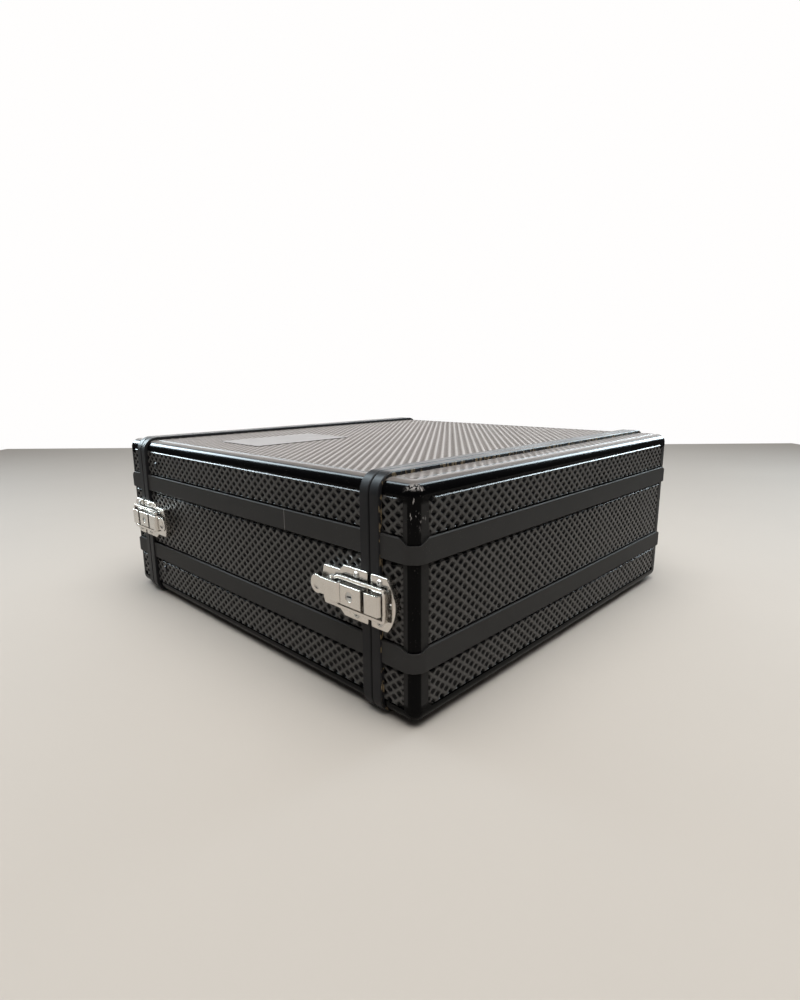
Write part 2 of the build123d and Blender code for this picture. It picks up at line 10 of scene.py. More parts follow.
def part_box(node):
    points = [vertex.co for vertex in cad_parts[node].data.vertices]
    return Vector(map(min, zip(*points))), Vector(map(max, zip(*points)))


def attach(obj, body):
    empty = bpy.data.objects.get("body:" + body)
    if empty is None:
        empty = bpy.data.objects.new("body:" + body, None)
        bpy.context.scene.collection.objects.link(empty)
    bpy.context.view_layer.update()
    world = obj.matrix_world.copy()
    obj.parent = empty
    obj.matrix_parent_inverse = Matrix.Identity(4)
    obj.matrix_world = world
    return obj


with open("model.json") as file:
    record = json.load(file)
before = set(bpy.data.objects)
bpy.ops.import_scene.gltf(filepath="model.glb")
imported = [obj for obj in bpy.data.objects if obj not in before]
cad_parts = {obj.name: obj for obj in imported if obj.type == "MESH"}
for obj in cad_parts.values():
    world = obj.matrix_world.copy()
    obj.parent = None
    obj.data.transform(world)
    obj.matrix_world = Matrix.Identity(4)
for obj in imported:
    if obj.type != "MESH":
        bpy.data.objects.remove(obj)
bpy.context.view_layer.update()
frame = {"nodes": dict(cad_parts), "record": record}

# Looks of a moulded rack case: the lozenge fields in its plastic, the finish of every piece, and
# the stage. Metres. +Z is up and the front cover looks along -Y.

bl_info = {
    "name": "Rack Case Finish",
    "version": (1, 0, 0),
    "blender": (4, 5, 0),
    "location": "View3D > Sidebar > Rack Case",
    "description": "Dresses a moulded rack case with lozenge fields, metalwork finishes and a stage",
    "category": "Object",
}

sides = {"left": -1, "right": 1}
ends = {"front": -1, "rear": 1}


def length(name, description, default):
    """A size that a user can change, in metres."""
    return FloatProperty(name=name, description=description, default=default, unit="LENGTH", precision=5)


def angle(name, description, degrees):
    """An angle that a user can change."""
    return FloatProperty(name=name, description=description, default=math.radians(degrees), subtype="ANGLE")


def colour(name, description, default):
    """A colour that a user can change."""
    return FloatVectorProperty(
        name=name, description=description, default=default, subtype="COLOR", size=3, min=0, max=1
    )


class CaseSizes(bpy.types.PropertyGroup):
    """Sizes of the moulded fields and of what stands in them."""

    band_rise: length("Band rise", "How far the bands stand out of the shell", 0.0025)
    band_height: length("Band height", "Height of each raised band", 0.0207)
    band_corner: length("Band corner", "Radius of the bands round a cover's corner", 0.0135)
    lower_band: length("Lower band", "Height of the lower band's foot", 0.051)
    upper_band: length("Upper band", "Height of the upper band's foot", 0.1423)
    band_gap: length("Band gap", "Plain strip between a band and the field under it", 0.0016)
    edge_margin: length("Edge margin", "Plain strip between a field and an edge", 0.012)
    face_margin: length("Face margin", "Plain strip at the upright edges of a cover's face", 0.0165)
    field_depth: length("Field depth", "How deep a field is sunk", 0.0012)
    field_corner: length("Field corner", "Radius of a field's outer corners", 0.008)
    pitch_along: length("Pitch along", "Distance between pits in one row", 0.01176)
    pitch_across: length("Pitch across", "Distance between pits in one column", 0.00952)
    ridge_top: length("Ridge top", "Half the width of a ridge's rounded top", 0.0011)
    ridge_slope: length("Ridge slope", "Width of a ridge's flank", 0.0011)
    ridge_round: length("Ridge round", "Drop from a ridge's middle to its shoulder", 0.00022)
    ridge_stand: length("Ridge stand", "How far a ridge stands out of the shell", 0.0002)
    pit_depth: length("Pit depth", "Depth of a pit under its ridges", 0.00125)
    rim_gap: length("Rim gap", "Distance from a field's border to its lozenges", 0.0019)
    rim_width: length("Rim width", "Width of the sloping rim round the lozenges", 0.0015)
    rim_stand: length("Rim stand", "How far the rim's top stands out of the shell", 0.0004)
    rim_foot: length("Rim foot", "Depth of the rim's foot under the shell's surface", 0.0011)
    latch_half: length("Latch half width", "Half the height of a latch plate", 0.023)
    latch_waist: length("Latch waist", "Half the height of the narrow end of a base plate", 0.018)
    base_waist_start: length("Base waist start", "Distance of the base plate's waist from the seam", 0.036)
    base_end: length("Base end", "Distance of the base plate's end from the seam", 0.06)
    catch_end: length("Catch end", "Distance of the catch plate's end from the seam", 0.031)
    catch_shoulder: length("Catch shoulder", "Distance of the catch plate's shoulders from the seam", 0.022)


class CaseColours(bpy.types.PropertyGroup):
    """Colours of the finishes."""

    plastic: colour("Plastic", "Moulded shell", (0.0028, 0.0028, 0.0032))
    band: colour("Band", "Raised bands, worn matt", (0.046, 0.0455, 0.0455))
    # The ridge colour is a painted highlight: lighter tops that stand for the light the ridges catch.
    ridge: colour("Ridge", "Tops of the lozenge ridges", (0.128, 0.125, 0.122))
    # On the top, the dust colour also carries a painted sheen of grazing light.
    dust: colour("Dust", "Dust that lies on the top", (0.3, 0.275, 0.262))
    scuff: colour("Scuff", "Scuffs on corners and ridges", (0.55, 0.53, 0.52))
    valance: colour("Valance", "Edge extrusions", (0.010, 0.011, 0.0135))
    dirt: colour("Dirt", "Dirt in the crease of a valance", (0.26, 0.2, 0.12))
    nickel: colour("Nickel", "Plated latch parts", (0.7, 0.665, 0.62))
    tarnish: colour("Tarnish", "Dark specks in the plating", (0.22, 0.19, 0.16))
    zinc: colour("Zinc", "Pins and rivets", (0.56, 0.55, 0.53))
    screw: colour("Screw", "Blackened heads of the rail screws", (0.035, 0.035, 0.037))
    rail: colour("Rail", "Powder coat of the rack rails", (0.02, 0.02, 0.022))
    plate: colour("Plate", "Bare plate on the top", (0.14, 0.127, 0.123))
    floor: colour("Floor", "Plain floor", (0.61, 0.57, 0.52))


class CaseStage(bpy.types.PropertyGroup):
    """Camera and lights."""

    camera_at: FloatVectorProperty(
        name="Camera", description="Where the camera stands", default=(-0.567776, -0.547844, 0.28288),
        subtype="TRANSLATION", unit="LENGTH",
    )
    yaw: angle("Yaw", "Camera's turn from +Y towards +X", 46.08)
    pitch: angle("Pitch", "How far the camera looks down", 11.84)
    roll: angle("Roll", "Camera's roll", -0.416)
    lens: FloatProperty(name="Lens", description="Focal length in millimetres", default=20.725)
    room: FloatProperty(name="Room", description="Brightness of the dim side of the room", default=0.07)
    wall: FloatProperty(name="Wall", description="Brightness of the pale wall behind the case", default=3.0)
    windows: FloatProperty(name="Windows", description="Power of each window, in watts", default=90)
    ceiling: FloatProperty(name="Ceiling", description="Power of the overhead light, in watts", default=62)
    floor_half: length("Floor half", "Half the width of the floor", 1.7)


# Places read from the frame
valance_end = -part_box("body_front_valance")[1].y
cover_start = -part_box("front_cover_valance")[0].y
seam_at = -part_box("front_cover_valance")[1].y
band_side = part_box("body_shell")[1].x
band_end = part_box("rear_cover_shell")[1].y
screw_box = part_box("rear_rail_screws")
plate_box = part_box("top_name_plate")
shell_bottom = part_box("body_shell")[0].z
shell_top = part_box("body_shell")[1].z
mid_height = (shell_bottom + shell_top) / 2

# Walls of the shell, seen from outside: where each one's own X and Y point
faces_out = {
    "left": (Vector((0, -1, 0)), Vector((0, 0, 1))),
    "right": (Vector((0, 1, 0)), Vector((0, 0, 1))),
    "front": (Vector((1, 0, 0)), Vector((0, 0, 1))),
    "rear": (Vector((-1, 0, 0)), Vector((0, 0, 1))),
    "top": (Vector((1, 0, 0)), Vector((0, 1, 0))),
    "bottom": (Vector((-1, 0, 0)), Vector((0, 1, 0))),
}

# Where a column of pits and a row of pits start on the top and the bottom
top_phase = (0, 0.0017)


def sizes():
    """The sizes of this scene."""
    return bpy.context.scene.rack_case_sizes


def colours():
    """The colours of this scene."""
    return bpy.context.scene.rack_case_colours


def wall_of(face):
    """Distance of a flat wall of the shell from the case's middle, or its height."""
    rise = sizes().band_rise
    if face in sides:
        return band_side - rise
    if face in ends:
        return band_end - rise
    return shell_top if face == "top" else -shell_bottom


def plane_of(face):
    """Matrix that lays the XY plane on a wall of the shell, with +Z outwards."""
    along, across = faces_out[face]
    outward = along.cross(across)
    turned = Matrix((along, across, outward)).transposed().to_4x4()
    return Matrix.Translation(outward * wall_of(face)) @ turned


# Modelling by hand


def to_object_mode():
    """Leaves edit mode with nothing selected."""
    if bpy.context.mode != "OBJECT":
        bpy.ops.object.mode_set(mode="OBJECT")
    bpy.ops.object.select_all(action="DESELECT")


def make_active(piece):
    """Selects one piece alone and makes it active."""
    to_object_mode()
    piece.select_set(True)
    bpy.context.view_layer.objects.active = piece


def edit(piece, kind="VERT"):
    """Enters edit mode on one piece, with one kind of element and all of it selected."""
    make_active(piece)
    bpy.ops.object.mode_set(mode="EDIT")
    bpy.ops.mesh.select_mode(type=kind)
    bpy.ops.mesh.select_all(action="SELECT")


def pick(piece, kind, test):
    """In edit mode, selects the vertices or faces of which every corner passes a test."""
    mesh = bmesh.from_edit_mesh(piece.data)
    bpy.ops.mesh.select_mode(type=kind)
    bpy.ops.mesh.select_all(action="DESELECT")
    elements = mesh.verts if kind == "VERT" else mesh.faces
    for element in elements:
        corners = [element] if kind == "VERT" else element.verts
        if all(test(corner.co) for corner in corners):
            element.select_set(True)
    mesh.select_flush_mode()
    bmesh.update_edit_mesh(piece.data)


def copy_of(piece):
    """A copy of a piece with its own mesh."""
    twin = piece.copy()
    twin.data = piece.data.copy()
    bpy.context.collection.objects.link(twin)
    return twin


def put(piece, matrix):
    """Moves a piece by a matrix and leaves its place in its mesh."""
    piece.matrix_world = matrix
    make_active(piece)
    bpy.ops.object.transform_apply(location=True, rotation=True, scale=True)


def join(name, pieces):
    """Joins pieces into the first and names it."""
    to_object_mode()
    for piece in pieces:
        piece.select_set(True)
    bpy.context.view_layer.objects.active = pieces[0]
    bpy.ops.object.join()
    pieces[0].name = name
    pieces[0].data.name = name
    return pieces[0]


def dress(piece, body, finish):
    """Lets a new piece ride on its body and finish."""
    piece.data.materials.clear()
    piece.data.materials.append(finish)
    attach(piece, body)


# Lozenge fields


def pick_lowest_face(piece):
    """In edit mode, selects the flat face at the bottom of a pit."""

    def depth_and_distance(face):
        middle = face.calc_center_median()
        return middle.z, middle.length

    mesh = bmesh.from_edit_mesh(piece.data)
    bpy.ops.mesh.select_mode(type="FACE")
    bpy.ops.mesh.select_all(action="DESELECT")
    min(mesh.faces, key=depth_and_distance).select_set(True)
    bmesh.update_edit_mesh(piece.data)


def draw_in_tips(pit, level, amount):
    """In edit mode, draws the four tips of a pit's outline below a level towards its middle."""
    vertices = bmesh.from_edit_mesh(pit.data).verts
    reach = max(abs(vertex.co.x) for vertex in vertices if vertex.co.z < level)
    tip_start, axis_width = 0.9 * reach, 0.1 * reach
    pick(pit, "VERT", lambda co: co.z < level and not axis_width <= abs(co.x) <= tip_start)
    bpy.ops.transform.resize(value=(amount, amount, 1), center_override=(0, 0, 0))


def lozenge_pit():
    """Two neighbouring pits, each with half of the ridges round it: the unit that repeats."""
    size = sizes()
    half_along = size.pitch_along / 2
    half_across = size.pitch_across / 2
    off_axis = 0.25
    to_lozenge = math.sqrt(0.5)
    shoulder_tips, floor_tips = 0.84, 0.82
    to_object_mode()
    bpy.ops.mesh.primitive_circle_add(vertices=8, radius=1, fill_type="NGON")
    pit = bpy.context.active_object
    edit(pit)
    pick(pit, "VERT", lambda co: abs(co.x) > off_axis and abs(co.y) > off_axis)
    bpy.ops.transform.resize(value=(to_lozenge, to_lozenge, 1), center_override=(0, 0, 0))
    bpy.ops.mesh.select_all(action="SELECT")
    bpy.ops.transform.resize(value=(half_along, half_across, 1), center_override=(0, 0, 0))
    for width, drop, tips in (
        (size.ridge_top, size.ridge_round, shoulder_tips),
        (size.ridge_slope, size.pit_depth - size.ridge_round, floor_tips),
    ):
        pick_lowest_face(pit)
        bpy.ops.mesh.inset(thickness=width, depth=0)
        bpy.ops.transform.translate(value=(0, 0, -drop))
        floor = min(vertex.co.z for vertex in bmesh.from_edit_mesh(pit.data).verts)
        draw_in_tips(pit, floor + drop / 2, tips)
    bpy.ops.mesh.select_all(action="SELECT")
    bpy.ops.mesh.duplicate_move(TRANSFORM_OT_translate={"value": (half_along, half_across, 0)})
    bpy.ops.mesh.select_all(action="SELECT")
    bpy.ops.transform.translate(value=(0, 0, size.ridge_stand))
    to_object_mode()
    return pit


def repeat(piece, counts, steps):
    """Repeats a piece along X and Y with Array modifiers."""
    make_active(piece)
    for axis, (count, step) in enumerate(zip(counts, steps)):
        array = piece.modifiers.new("repeat", "ARRAY")
        array.count = count
        array.use_relative_offset = False
        array.use_constant_offset = True
        array.constant_offset_displace = [step if place == axis else 0 for place in range(3)]
        bpy.ops.object.modifier_apply(modifier=array.name)


def borders(low, high, names):
    """Cutting planes at some sides of a rectangle, each as a place and an outward direction."""
    planes = {
        "-u": (low, (-1, 0, 0)), "+u": (high, (1, 0, 0)), "-v": (low, (0, -1, 0)), "+v": (high, (0, 1, 0)),
    }
    return [((*place, 0), outward) for name, (place, outward) in planes.items() if name in names]


def corner_cuts(low, high, rounded, radius, steps=4):
    """Cutting planes that round some corners of a rectangle."""
    cuts = []
    for across, up in rounded:
        middle = Vector((
            high[0] - radius if across > 0 else low[0] + radius,
            high[1] - radius if up > 0 else low[1] + radius,
            0,
        ))
        for step in range(1, steps):
            turn = step / steps * math.pi / 2
            outward = Vector((across * math.cos(turn), up * math.sin(turn), 0))
            cuts.append((middle + radius * outward, outward))
    return cuts


def cut(piece, planes):
    """Cuts away what lies outside each plane."""
    edit(piece)
    for place, outward in planes:
        bpy.ops.mesh.select_all(action="SELECT")
        bpy.ops.mesh.bisect(
            plane_co=place, plane_no=outward, clear_outer=True, use_fill=False, threshold=1e-6
        )


def close_underneath(piece, depth):
    """Turns an open relief into a closed slab: walls from its border and a flat underside."""
    edit(piece, "EDGE")
    bpy.ops.mesh.select_all(action="DESELECT")
    bpy.ops.mesh.select_non_manifold(extend=False)
    bpy.ops.mesh.extrude_region_move(TRANSFORM_OT_translate={"value": (0, 0, -depth)})
    bpy.ops.transform.resize(value=(1, 1, 0), center_override=(0, 0, -depth))
    bpy.ops.mesh.remove_doubles(threshold=1e-5)
    bpy.ops.mesh.fill(use_beauty=False)
    bpy.ops.mesh.select_all(action="SELECT")
    bpy.ops.mesh.normals_make_consistent(inside=False)
    to_object_mode()


def mark_height(piece, low, high):
    """Stores how high each point of a relief lies, from 0 in the pits to 1 on the ridges."""
    heights = piece.data.attributes.new("ridge", "FLOAT", "POINT")
    values = [min(1, max(0, (vertex.co.z - low) / (high - low))) for vertex in piece.data.vertices]
    heights.data.foreach_set("value", values)


def slope_border(piece, low, high):
    """Runs the border of a relief up to a level rim and on down a slope round it."""
    size = sizes()
    rim_height = size.rim_stand + size.rim_foot
    middle = [(low[axis] + high[axis]) / 2 for axis in range(2)]
    wider = [1 + 2 * size.rim_width / (high[axis] - low[axis]) for axis in range(2)]
    edit(piece, "EDGE")
    bpy.ops.mesh.select_all(action="DESELECT")
    bpy.ops.mesh.select_non_manifold(extend=False)
    bpy.ops.mesh.extrude_region_move(TRANSFORM_OT_translate={"value": (0, 0, size.rim_stand)})
    bpy.ops.transform.resize(value=(1, 1, 0), center_override=(0, 0, size.rim_stand))
    bpy.ops.mesh.extrude_region_move(TRANSFORM_OT_translate={"value": (0, 0, -rim_height)})
    bpy.ops.transform.resize(value=(*wider, 1), center_override=(*middle, 0))
    to_object_mode()


def relief(unit, low, high, rounded, open_sides, phase, covered):
    """Lozenge pad that fills a rectangle of the XY plane, left out where a test says so."""
    size = sizes()
    sharpest = math.radians(40)
    pitch = (size.pitch_along, size.pitch_across)
    wide_low = [place - size.pitch_along * (name in open_sides) for place, name in zip(low, ("-u", "-v"))]
    wide_high = [place + size.pitch_along * (name in open_sides) for place, name in zip(high, ("+u", "+v"))]
    counts = [math.ceil((wide_high[axis] - wide_low[axis]) / pitch[axis]) + 3 for axis in range(2)]
    start = [
        (math.floor((wide_low[axis] - phase[axis]) / pitch[axis]) - 1) * pitch[axis] + phase[axis]
        for axis in range(2)
    ]
    piece = copy_of(unit)
    repeat(piece, counts, pitch)
    put(piece, Matrix.Translation((*start, 0)))
    edit(piece)
    bpy.ops.mesh.remove_doubles(threshold=size.ridge_top / 10)
    cut(piece, borders(wide_low, wide_high, ("-u", "+u", "-v", "+v")))
    cut(piece, corner_cuts(wide_low, wide_high, rounded, size.field_corner - size.rim_gap))
    to_object_mode()
    mark_height(piece, size.ridge_stand - size.pit_depth, size.ridge_stand)
    slope_border(piece, wide_low, wide_high)
    cut(piece, borders(low, high, open_sides))
    if covered:
        pick(piece, "FACE", covered)
        bpy.ops.mesh.delete(type="FACE")
    close_underneath(piece, size.field_depth)
    make_active(piece)
    bpy.ops.object.shade_smooth_by_angle(angle=sharpest)
    return piece


def field(unit, face, low, high, rounded=(), open_sides=(), phase=(0, 0), covered=None):
    """One field of lozenges, laid on a wall of the shell."""
    gap = sizes().rim_gap
    plane = plane_of(face)
    inner_low = [place + gap * (name not in open_sides) for place, name in zip(low, ("-u", "-v"))]
    inner_high = [place - gap * (name not in open_sides) for place, name in zip(high, ("+u", "+v"))]
    test = (lambda co: covered(plane @ co)) if covered else None
    pad = relief(unit, inner_low, inner_high, rounded, open_sides, phase, test)
    put(pad, plane)
    return pad


def under_hardware(co):
    """Whether a point of the shell lies well under a latch plate, a screw head or the top's plate."""
    size = sizes()
    inset = 0.0006
    along = seam_at - abs(co.y)
    across = abs(co.z - mid_height)
    if abs(co.x) > wall_of("right") - size.field_depth * 2:
        if across < size.latch_half - inset:
            if 0 < along < size.base_end - inset:
                waist = along > size.base_waist_start - size.latch_half + size.latch_waist
                return across < (size.latch_waist if waist else size.latch_half) - inset
            if -size.catch_end + inset < along < 0:
                past = max(0, -along - size.catch_shoulder) / (size.catch_end - size.catch_shoulder)
                return across < size.latch_half * math.sqrt(max(0, 1 - past)) - inset
        low, high = screw_box
        radius = (high.y - low.y) / 2
        for height in (low.z + radius, high.z - radius):
            if math.hypot(co.y - (low.y + high.y) / 2, co.z - height) < radius - inset:
                return True
    elif co.z > shell_top - size.field_depth * 2:
        low, high = plate_box
        return low.x + inset < co.x < high.x - inset and low.y + inset < co.y < high.y - inset
    return False


def side_levels():
    """Heights of the three rows of fields."""
    size = sizes()
    return {
        "low": (shell_bottom + size.edge_margin, size.lower_band - size.band_gap),
        "middle": (size.lower_band + size.band_height, size.upper_band - size.band_gap),
        "high": (size.upper_band + size.band_height, shell_top - size.edge_margin),
    }


# Finishes


class Wire:
    """A value that runs through a material, with the usual arithmetic."""

    def __init__(self, finish, socket):
        self.finish = finish
        self.socket = socket

    def maths(self, operation, *values):
        return self.finish.node("ShaderNodeMath", {"operation": operation}, dict(enumerate(values)))

    def __add__(self, other):
        return self.maths("ADD", self, other)

    def __radd__(self, other):
        return self.maths("ADD", other, self)

    def __sub__(self, other):
        return self.maths("SUBTRACT", self, other)

    def __rsub__(self, other):
        return self.maths("SUBTRACT", other, self)

    def __mul__(self, other):
        return self.maths("MULTIPLY", self, other)

    def __rmul__(self, other):
        return self.maths("MULTIPLY", other, self)

    def __abs__(self):
        return self.maths("ABSOLUTE", self)

    def __pow__(self, other):
        return self.maths("POWER", self, other)

    def over(self, low, high):
        """0 below low, 1 above high and a smooth rise between them."""
        return self.finish.node(
            "ShaderNodeMapRange",
            {"interpolation_type": "SMOOTHSTEP"},
            {"Value": self, "From Min": low, "From Max": high},
        )

    def or_more(self, other):
        """The larger of two values."""
        return self.maths("MAXIMUM", self, other)


class Network:
    """A node tree in the making."""

    def __init__(self, tree):
        self.tree = tree

    def node(self, kind, settings, inputs, output=0):
        """Adds a node: its settings first, then values or wires on its sockets. Returns one output."""
        made = self.tree.nodes.new(kind)
        for name, value in settings.items():
            setattr(made, name, value)
        for socket, value in inputs.items():
            if isinstance(value, Wire):
                self.tree.links.new(value.socket, made.inputs[socket])
            else:
                made.inputs[socket].default_value = value
        return Wire(self, made.outputs[output])

    def mix(self, factor, first, second):
        """Colour between two colours, each a wire or a colour property."""
        values = [value if isinstance(value, Wire) else (*value, 1) for value in (first, second)]
        return self.node("ShaderNodeMix", {"data_type": "RGBA"}, {0: factor, 6: values[0], 7: values[1]}, 2)


class Finish(Network):
    """A material in the making, round one Principled shader."""

    def __init__(self, name, **constants):
        self.material = bpy.data.materials.new(name)
        self.material.use_nodes = True
        super().__init__(self.material.node_tree)
        self.shader = self.tree.nodes["Principled BSDF"]
        for socket, value in constants.items():
            self.shader.inputs[socket.replace("_", " ")].default_value = value
        self.place = self.node("ShaderNodeTexCoord", {}, {}, "Object")
        self.axes = [self.node("ShaderNodeSeparateXYZ", {}, {0: self.place}, axis) for axis in "XYZ"]

    def noise(self, size, detail=3.0, roughness=0.6, stretch=(1, 1, 1), offset=(0, 0, 0)):
        """Even noise whose lumps are about one size across, stretched along some axes."""
        placing = {"Vector": self.place, "Scale": stretch, "Location": offset}
        vector = self.node("ShaderNodeMapping", {}, placing)
        lumps = {"Vector": vector, "Scale": 1 / size, "Detail": detail, "Roughness": roughness}
        return self.node("ShaderNodeTexNoise", {}, lumps)

    def round_edges(self, radius):
        """Lets sharp edges catch the light as if they were rounded."""
        self.feed("Normal", self.node("ShaderNodeBevel", {"samples": 4}, {"Radius": radius}))

    def crevices(self, reach):
        """1 deep in gaps and holes, 0 on open faces."""
        open_air = self.node("ShaderNodeAmbientOcclusion", {"samples": 6}, {"Distance": reach}, "AO")
        return 1 - open_air.over(0.15, 0.6)

    def bump(self, height, strength, distance):
        """Feeds a height to the shader's normal, after what is there already."""
        inputs = {"Height": height, "Strength": strength, "Distance": distance}
        links = self.shader.inputs["Normal"].links
        if links:
            inputs["Normal"] = Wire(self, links[0].from_socket)
        self.feed("Normal", self.node("ShaderNodeBump", {}, inputs))

    def feed(self, socket, value):
        """Links a wire to a socket of the shader."""
        self.tree.links.new(value.socket, self.shader.inputs[socket])


def plastic_grain(finish, strength=0.12):
    """Fine grain of moulded plastic."""
    finish.bump(finish.noise(0.0006, detail=2), strength, 0.0002)


def band_mask(finish):
    """1 on the raised bands, also where they turn a cover's corner, and 0 on the shell."""
    size = sizes()
    x, y = finish.axes[:2]
    past_side = (abs(x) - (band_side - size.band_corner)).or_more(0)
    past_end = (abs(y) - (band_end - size.band_corner)).or_more(0)
    reach = (past_side * past_side + past_end * past_end) ** 0.5
    wall_reach = size.band_corner - size.band_rise
    return reach.over(wall_reach + 0.0009, wall_reach + 0.0015)


def at_wall(place, face):
    """1 on a flat wall and further out, 0 where the shell rounds away from it."""
    wall = wall_of(face)
    return abs(place).over(wall - 0.0004, wall - 0.0001)


def band_scratch(finish):
    """Fine upright scratch across the upper band of the left side."""
    x, y, z = finish.axes
    scratch_place = -0.0978
    left_side = 1 - x.over(0, 0.01)
    upper_half = z.over(0.1, 0.11)
    return left_side * upper_half * (1 - abs(y - scratch_place).over(0.0002, 0.0006))


def shell_finish(name, scuffed=False):
    """Moulded shell: satin plastic, matt bands, dust and painted sheen on the top and some scuffs."""
    c = colours()
    finish = Finish(name, Specular_IOR_Level=0.05)
    x, y, z = finish.axes
    on_band = band_mask(finish)
    straight_half = 0.083
    upright = 1 - abs(z - mid_height).over(straight_half, straight_half + 0.004)
    on_flat = at_wall(x, "right").or_more(at_wall(y, "rear"))
    plain_strip = on_flat * (1 - on_band) * upright
    # Paler top and upper edge: dust and a painted sheen of grazing light.
    top_dust_and_sheen = z.over(shell_top - 0.0026, shell_top - 0.0012)
    patches = finish.noise(0.06, detail=5)
    specks = finish.noise(0.0012, detail=1, offset=(3, 1, 2)).over(0.72, 0.8)
    matt = on_band + 0.6 * plain_strip
    base = finish.mix(matt * (0.8 + 0.4 * patches), c.plastic, c.band)
    base = finish.mix(top_dust_and_sheen * (0.45 + 0.3 * patches), base, c.dust)
    base = finish.mix(specks * 0.25, base, c.dust)
    base = finish.mix(on_band * band_scratch(finish) * 0.35, base, c.scuff)
    if scuffed:
        base = finish.mix(corner_scuffs(finish), base, c.scuff)
    finish.feed("Base Color", base)
    finish.feed("Roughness", 0.07 + 0.36 * matt + 0.1 * patches + 0.2 * top_dust_and_sheen)
    plastic_grain(finish, 0.05)
    return finish.material


def corner_scuffs(finish):
    """White scuffs where the left corner of the front cover was knocked."""
    x, y, z = finish.axes
    corner_start, scuff_start, rim_start = 0.5065, 0.166, 0.1995
    near_corner = (0 - x - y).over(corner_start, 0.512)
    high_up = z.over(scuff_start, 0.186)
    streaks = finish.noise(0.004, detail=4, stretch=(1, 1, 0.35), offset=(1, 4, 2)).over(0.6, 0.66)
    top_rim = z.over(rim_start, 0.203) * finish.noise(0.002, detail=2).over(0.45, 0.55)
    return near_corner * (high_up * streaks).or_more(top_rim) * 0.8


def lozenge_finish():
    """The relief: darker in its pits and lighter on its ridges as a painted highlight, with dust and
    painted sheen on the top.
    """
    c = colours()
    finish = Finish("lozenge_plastic", Specular_IOR_Level=0.15)
    ridge = finish.node("ShaderNodeAttribute", {"attribute_name": "ridge"}, {}, "Fac")
    z = finish.axes[2]
    # Paler top, most on the ridges: dust and a painted sheen of grazing light.
    top_dust_and_sheen = z.over(shell_top - 0.002, shell_top - 0.0015)
    patches = finish.noise(0.05, detail=5)
    # Lighter ridge tops: a painted highlight of the light the ridges catch.
    worn = ridge.over(0.58, 1.04)
    nicks = finish.noise(0.0014, detail=2, offset=(5, 2, 1)).over(0.72, 0.8) * worn
    base = finish.mix(worn * (0.5 + 0.5 * patches), c.plastic, c.ridge)
    base = finish.mix(nicks * 0.6, base, c.scuff)
    base = finish.mix(top_dust_and_sheen * (0.12 + 0.6 * ridge + 0.25 * patches), base, c.dust)
    finish.feed("Base Color", base)
    finish.feed("Roughness", 0.2 + 0.14 * patches + 0.14 * top_dust_and_sheen)
    plastic_grain(finish)
    return finish.material


def valance_finish():
    """Edge extrusions: a satin coating with faint drawing lines, dirt in the covers' crease and painted
    shade along the seam.
    """
    c = colours()
    finish = Finish("valance_coat", Specular_IOR_Level=0.12)
    y = finish.axes[1]
    lines = finish.noise(0.0012, detail=2, stretch=(0.01, 1, 0.01))
    patches = finish.noise(0.03, detail=5)
    crease = abs(y).over(cover_start - 0.0004, cover_start - 0.0001)
    dashes = finish.noise(0.004, detail=4, stretch=(1, 1, 0.5), offset=(2, 7, 1)).over(0.5, 0.6)
    # Near-black line along the seam gap between the strips: painted shade.
    seam = 1 - abs(abs(y) - seam_at).over(0.0004, 0.0009)
    base = finish.mix(0.06 * patches, c.valance, c.dust)
    base = finish.mix(seam, base, c.plastic)
    base = finish.mix(crease * dashes * 0.9, base, c.dirt)
    finish.feed("Base Color", base)
    finish.feed("Roughness", 0.26 + 0.2 * patches + 0.1 * lines + 0.4 * seam)
    finish.bump(lines, 0.15, 0.0003)
    plastic_grain(finish, 0.06)
    return finish.material


def nickel_finish():
    """Plated stampings: bright, a little uneven, with dark specks, and painted shade in crevices and along
    the lever's joint.
    """
    c = colours()
    finish = Finish("latch_nickel", Metallic=1.0)
    finish.round_edges(0.0009)
    x, y = finish.axes[:2]
    line_from_seam, lever_face = 0.0271, 0.2705
    off_line = abs(seam_at - abs(y) - line_from_seam)
    # Dark line along the lever's joint: painted shade.
    joint_shade = (1 - off_line.over(0.0005, 0.0008)) * abs(x).over(lever_face, lever_face + 0.0005)
    patches = finish.noise(0.008, detail=5)
    specks = finish.noise(0.0007, detail=2, offset=(1, 5, 3)).over(0.64, 0.74)
    # Near-black in crevices, found by ambient occlusion, and on the joint line: painted shade.
    painted_shade = finish.crevices(0.004).or_more(joint_shade)
    base = finish.mix(specks * 0.4 + 0.15 * patches, c.nickel, c.tarnish)
    finish.feed("Base Color", finish.mix(painted_shade, base, c.plastic))
    finish.feed("Roughness", 0.16 + 0.16 * patches + 0.25 * specks)
    finish.bump(finish.noise(0.006, detail=2), 0.05, 0.0006)
    finish.bump(finish.noise(0.0006, detail=2), 0.05, 0.0001)
    return finish.material


def small_part_finish(name, metal):
    """Pins, rivets and screws, in bright or blackened metal, with painted shade in their crevices."""
    c = colours()
    finish = Finish(name, Metallic=1.0)
    finish.round_edges(0.0003)
    patches = finish.noise(0.003, detail=4)
    specks = finish.noise(0.0005, detail=2).over(0.62, 0.75)
    # Near-black in crevices, found by ambient occlusion: painted shade.
    painted_shade = finish.crevices(0.0025)
    base = finish.mix(specks * 0.5, metal, c.tarnish)
    finish.feed("Base Color", finish.mix(painted_shade, base, c.plastic))
    finish.feed("Roughness", 0.24 + 0.2 * patches)
    finish.bump(finish.noise(0.0008, detail=2), 0.1, 0.0002)
    return finish.material


